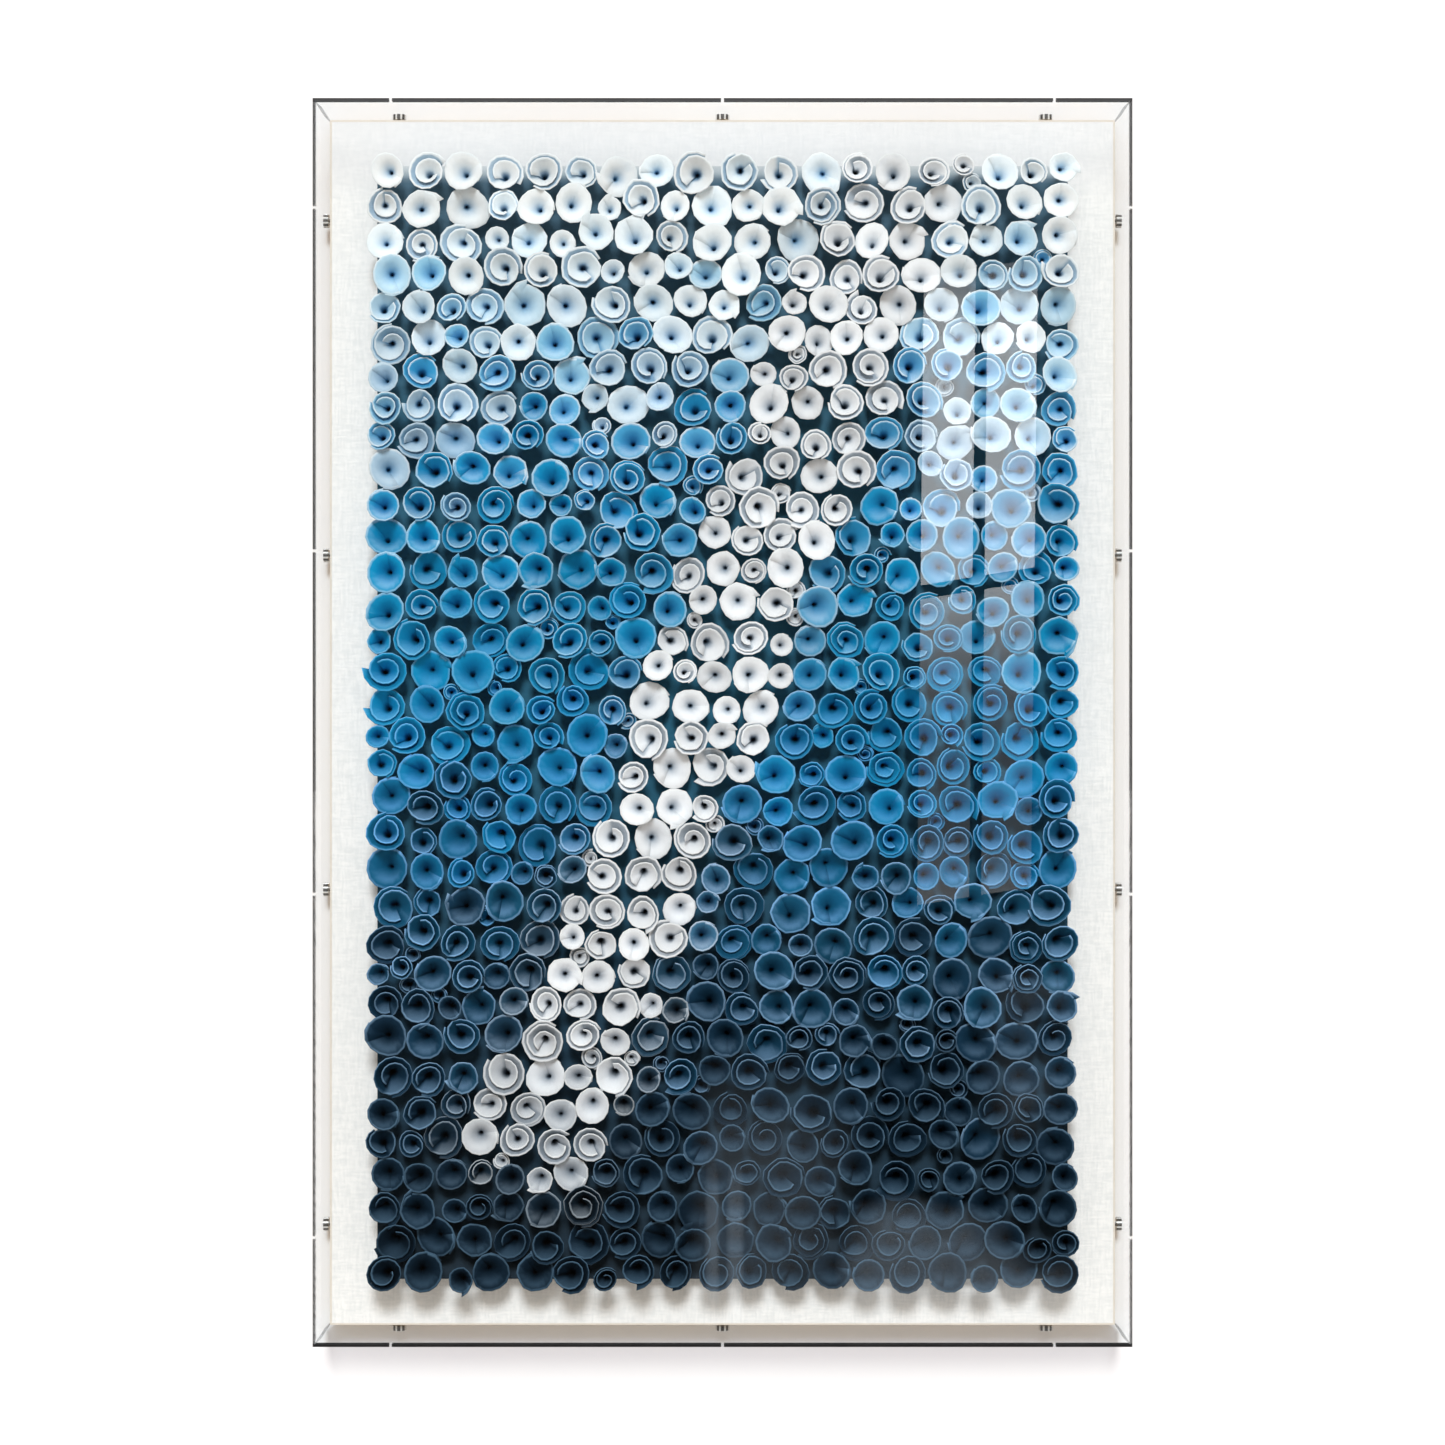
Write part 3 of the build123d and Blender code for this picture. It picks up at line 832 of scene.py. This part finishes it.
def paper_cones(node, cones, shapes, stripe_places, paper):
    """The rolled sheets of one node's cones, as one piece."""
    plain, rolled = shapes
    bm = bmesh.new()
    bm.verts.layers.float.new("rise")
    layers = [bm.verts.layers.float_color.new(name) for name in DYE_LAYERS]
    in_stripe = node.startswith("stripe")
    for cone in cones:
        dyes = dyes_of(cone, in_stripe, stripe_places)
        shape = cone.draw.choice(rolled if cone.rolled else plain)
        turn = 0.0 if cone.rolled else cone.draw.uniform(0, 2 * math.pi)
        matrix = cone.matrix(turn, cone.draw.uniform(*SQUASHES))
        first = len(bm.verts)
        bm.from_mesh(shape)
        bm.verts.ensure_lookup_table()
        added = bm.verts[first:]
        bmesh.ops.transform(bm, matrix=matrix, verts=added)
        for vert in added:
            for layer, dye in zip(layers, dyes):
                vert[layer] = dye
    mesh = bpy.data.meshes.new(f"{node}_sheets")
    bm.to_mesh(mesh)
    bm.free()
    mesh.materials.append(paper)
    piece = bpy.data.objects.new(f"{node}_sheets", mesh)
    bpy.context.scene.collection.objects.link(piece)
    sheet = piece.modifiers.new("sheet", "SOLIDIFY")
    sheet.thickness = SHEET_THICKNESS
    sheet.offset = 0.0
    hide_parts(node)
    slot_of(node)
    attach(piece, "root")


def slot_of(node):
    """A node's name turned into a paper slot name."""
    return node.replace("cone_row", "paper_row").replace("stripe_cones", "paper_stripe")


def all_cones():
    """Every cone node, dressed."""
    nodes = sorted(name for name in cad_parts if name.startswith(("cone_row", "stripe_cones")))
    cones = {node: cones_of(node) for node in nodes}
    stripe_places = [cone.tip for node in nodes if node.startswith("stripe") for cone in cones[node]]
    shapes = sheet_shapes()
    paper = dyed_paper()
    for node in nodes:
        paper_cones(node, cones[node], shapes, stripe_places, paper)
    for shape in shapes[0] + shapes[1]:
        bpy.data.meshes.remove(shape)


def paint(node, material):
    """Puts a finish on a CAD node."""
    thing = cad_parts[node]
    if not thing.data.materials:
        thing.data.materials.append(material)
    for n in range(len(thing.data.materials)):
        thing.material_slots[n].link = "OBJECT"
        thing.material_slots[n].material = material


def cover_and_backing():
    """The finishes of the solids that stay as they are."""
    wall = clear_acrylic_wall()
    upright = pine("pine upright", "z")
    level = pine("pine level", "x")
    finishes = {
        "front_panel": clear_acrylic_front(),
        "top_wall": wall,
        "bottom_wall": wall,
        "left_wall": wall,
        "right_wall": wall,
        "backing_board": white_cloth_board(),
        "strainer_rail_top": level,
        "strainer_rail_bottom": level,
        "strainer_stile_left": upright,
        "strainer_stile_right": upright,
        "strainer_brace": level,
        "hanging_cleat": level,
        "art_panel": blue_panel(),
        "panel_risers": white_foam(),
        "wall_screws": screw_steel(),
    }
    for node, material in finishes.items():
        paint(node, material)


def stage_plane(name, corners, material):
    """A flat stage piece from its four corners."""
    bm = bmesh.new()
    bm.faces.new([bm.verts.new(corner) for corner in corners])
    mesh = bpy.data.meshes.new(name)
    bm.to_mesh(mesh)
    bm.free()
    mesh.materials.append(material)
    thing = bpy.data.objects.new(name, mesh)
    bpy.context.scene.collection.objects.link(thing)
    return thing


def unsampled(finish):
    """Keeps a faint glow from being treated as a lamp."""
    finish.owner.cycles.emission_sampling = "NONE"


def stage_white(name, colour, glow):
    """White that shows shadows, seen only from its front."""
    finish = Finish(name)
    behind = finish.node("ShaderNodeNewGeometry", output="Backfacing")
    camera, gloss, through, shaded = [
        finish.node("ShaderNodeLightPath", output=f"Is {ray} Ray")
        for ray in ("Camera", "Glossy", "Transmission", "Shadow")
    ]
    matt = finish.node("ShaderNodeBsdfDiffuse", None, {"Color": colour})
    light = finish.node("ShaderNodeEmission", None, {"Color": (1, 1, 1, 1), "Strength": glow})
    lit = finish.node("ShaderNodeAddShader", None, {0: matt, 1: light})
    seen = finish.mixed(camera.most(gloss).most(through), matt, lit)
    clear = finish.node("ShaderNodeBsdfTransparent")
    unsampled(finish)
    return finish.show(finish.mixed(behind.most(shaded), seen, clear))


def in_room(x, y):
    """Where a pixel's reflection in the cover's front lies across the room."""
    spread = PIXEL_SIZE * (VIEW_DISTANCE + WINDOW_DISTANCE) / VIEW_DISTANCE
    return (x - PIXEL_CENTRE) * spread, FRONT_Y - WINDOW_DISTANCE, (PIXEL_CENTRE - y) * spread


def window_light():
    """The light of a tall window."""
    finish = Finish("window light")
    coords, _, _, z = finish.place()
    clouds = finish.noise(coords, SKY_NOISE)
    sky = finish.blend(clouds, rgba("f6f8fa"), rgba("fcfdfe"))
    low = in_room(0, WINDOW_FOOT)[2]
    high = in_room(0, WINDOW_TOP)[2]
    shade = finish.node("ShaderNodeValToRGB", {"stops": WINDOW_SHADES}, {0: (z - low) / (high - low)})
    sky = finish.blend(1.0, sky, shade, "MULTIPLY")
    unsampled(finish)
    return finish.show(finish.node("ShaderNodeEmission", None, {"Color": sky, "Strength": WINDOW_STRENGTH}))


def drape_light():
    """Soft grey folds: two upright streaks, a bank of haze along the foot and thinner haze above."""
    finish = Finish("drape light")
    coords, x, _, z = finish.place()
    left, _, high = in_room(DRAPE_LEFT, DRAPE_TOP)
    right, _, low = in_room(DRAPE_RIGHT, DRAPE_FOOT)
    across = (x - left) / (right - left)
    up = (z - low) / (high - low)
    folds = finish.noise(finish.stretched(coords, FOLD_STRETCH), 1.0, 2.0)
    billows = finish.noise(coords, BILLOW_NOISE, 4.0)
    first, second = [
        1 - abs(across - place).over(STREAK_CORE * reach, reach) for place, reach in DRAPE_STREAKS
    ]
    streaks = first.most(second) * (1 - up.over(*STREAK_TOP_STEPS)) * (0.3 + 0.5 * folds)
    bank_rise = up + BANK_WAVER * (billows - 0.5)
    bank = (1 - bank_rise.over(*BANK_TOP_STEPS)) * across.over(*BANK_LEFT_STEPS) * BANK_TONE
    haze_place = (1 - up.over(*HAZE_TOP_STEPS)) * (1 - across.over(*HAZE_RIGHT_STEPS))
    haze = billows.over(*HAZE_STEPS) * haze_place * HAZE_TONE
    side_place = across.over(*SIDE_LEFT_STEPS) * up.over(*SIDE_FOOT_STEPS)
    side = billows.over(*SIDE_STEPS) * side_place * SIDE_TONE
    shine = streaks.most(bank).most(haze).most(side)
    soft_side = 1 - abs(across - 0.5).over(*DRAPE_SIDE_FADE)
    soft_end = 1 - abs(up - 0.5).over(*DRAPE_END_FADE)
    unsampled(finish)
    grey = finish.blend(shine * soft_side * soft_end, rgba("000000"), rgba("bccad8"))
    return finish.show(finish.node("ShaderNodeEmission", None, {"Color": grey, "Strength": DRAPE_STRENGTH}))


def reflected_plane(name, corners, material):
    """A stage piece across the room that shows only in the gloss of the cover."""
    pane = stage_plane(name, corners, material)
    pane.visible_camera = False
    pane.visible_diffuse = False
    pane.visible_shadow = False


def reflections():
    """Four window panes and a drape, where the cover's front throws them back to the viewer."""
    light = window_light()
    rows = ((WINDOW_TOP, WINDOW_BARS[0]), (WINDOW_BARS[1], WINDOW_FOOT))

    def corner(x, y):
        drop = WINDOW_SLOPE * (x - WINDOW_COLUMNS[0][1])
        return in_room(x + WINDOW_SLANT * (y - WINDOW_TOP), y + drop)

    for column, (left, right) in enumerate(WINDOW_COLUMNS):
        for row, (top, foot) in enumerate(rows):
            corners = (corner(left, foot), corner(right, foot), corner(right, top), corner(left, top))
            reflected_plane(f"window_{column}_{row}", corners, light)
    ends = (
        (DRAPE_LEFT, DRAPE_FOOT),
        (DRAPE_RIGHT, DRAPE_FOOT),
        (DRAPE_RIGHT, DRAPE_TOP),
        (DRAPE_LEFT, DRAPE_TOP),
    )
    reflected_plane("drape", [in_room(x, y) for x, y in ends], drape_light())


def stage():
    """The wall that it hangs on, the floor below and a window across the room."""
    span = WALL_HALF_SPAN
    floor_z = -HALF_HEIGHT - FLOOR_DROP
    wall_white = stage_white("wall white", WALL_COLOUR, 0.0)
    floor_white = stage_white("floor white", FLOOR_COLOUR, FLOOR_GLOW)
    back = WALL_GAP
    wall = ((-span, back, floor_z), (span, back, floor_z), (span, back, span), (-span, back, span))
    stage_plane("wall", wall, wall_white)
    fore = -FLOOR_REACH
    floor = ((-span, back, floor_z), (-span, fore, floor_z), (span, fore, floor_z), (span, back, floor_z))
    ground = stage_plane("floor", floor, floor_white)
    ground.visible_glossy = False
    ground.visible_diffuse = False
    reflections()


def lamp(name, strength, colour, turn):
    """A soft sun lamp, turned from straight down."""
    data = bpy.data.lights.new(name, "SUN")
    data.energy = strength
    data.color = colour
    data.angle = KEY_ANGLE
    thing = bpy.data.objects.new(name, data)
    thing.rotation_euler = turn
    bpy.context.scene.collection.objects.link(thing)


def room():
    """An even, slightly warm fill, white to the viewer and dim where the cover's gloss throws it back."""
    finish = Finish("room", "World")
    in_gloss = finish.node("ShaderNodeLightPath", output="Is Glossy Ray")
    fill = finish.node("ShaderNodeBackground", None, {"Color": ROOM_COLOUR, "Strength": ROOM_STRENGTH})
    dim = finish.node("ShaderNodeBackground", None, {"Color": ROOM_COLOUR, "Strength": ROOM_IN_GLOSS})
    viewed = finish.node("ShaderNodeLightPath", output="Is Camera Ray")
    white = finish.node("ShaderNodeBackground", None, {"Color": (1, 1, 1, 1), "Strength": 1.0})
    return finish.show(finish.mixed(viewed, finish.mixed(in_gloss, fill, dim), white))


def light():
    """A soft key from above the viewer, a weak one lower down, one from behind and the fill of the room."""
    lamp("key", KEY_STRENGTH, KEY_COLOUR, (math.pi / 2 - KEY_ELEVATION, 0, 0))
    lamp("front", FRONT_STRENGTH, ROOM_COLOUR[:3], (math.pi / 2 - FRONT_ELEVATION, 0, 0))
    lamp("back", BACK_STRENGTH, KEY_COLOUR, BACK_TURN)
    bpy.context.scene.world = room()


def camera():
    """Square on to the cover, at its middle."""
    data = bpy.data.cameras.new("camera")
    data.sensor_width = SENSOR_WIDTH
    data.lens = SENSOR_WIDTH * VIEW_DISTANCE / (2 * VIEW_HALF_SPAN)
    thing = bpy.data.objects.new("camera", data)
    thing.location = (0, FRONT_Y - VIEW_DISTANCE, 0)
    thing.rotation_euler = (math.pi / 2, 0, 0)
    bpy.context.scene.collection.objects.link(thing)
    bpy.context.scene.camera = thing


camera()
light()
stage()
cover_and_backing()
all_cones()
bpy.context.scene.view_settings.view_transform = "Standard"
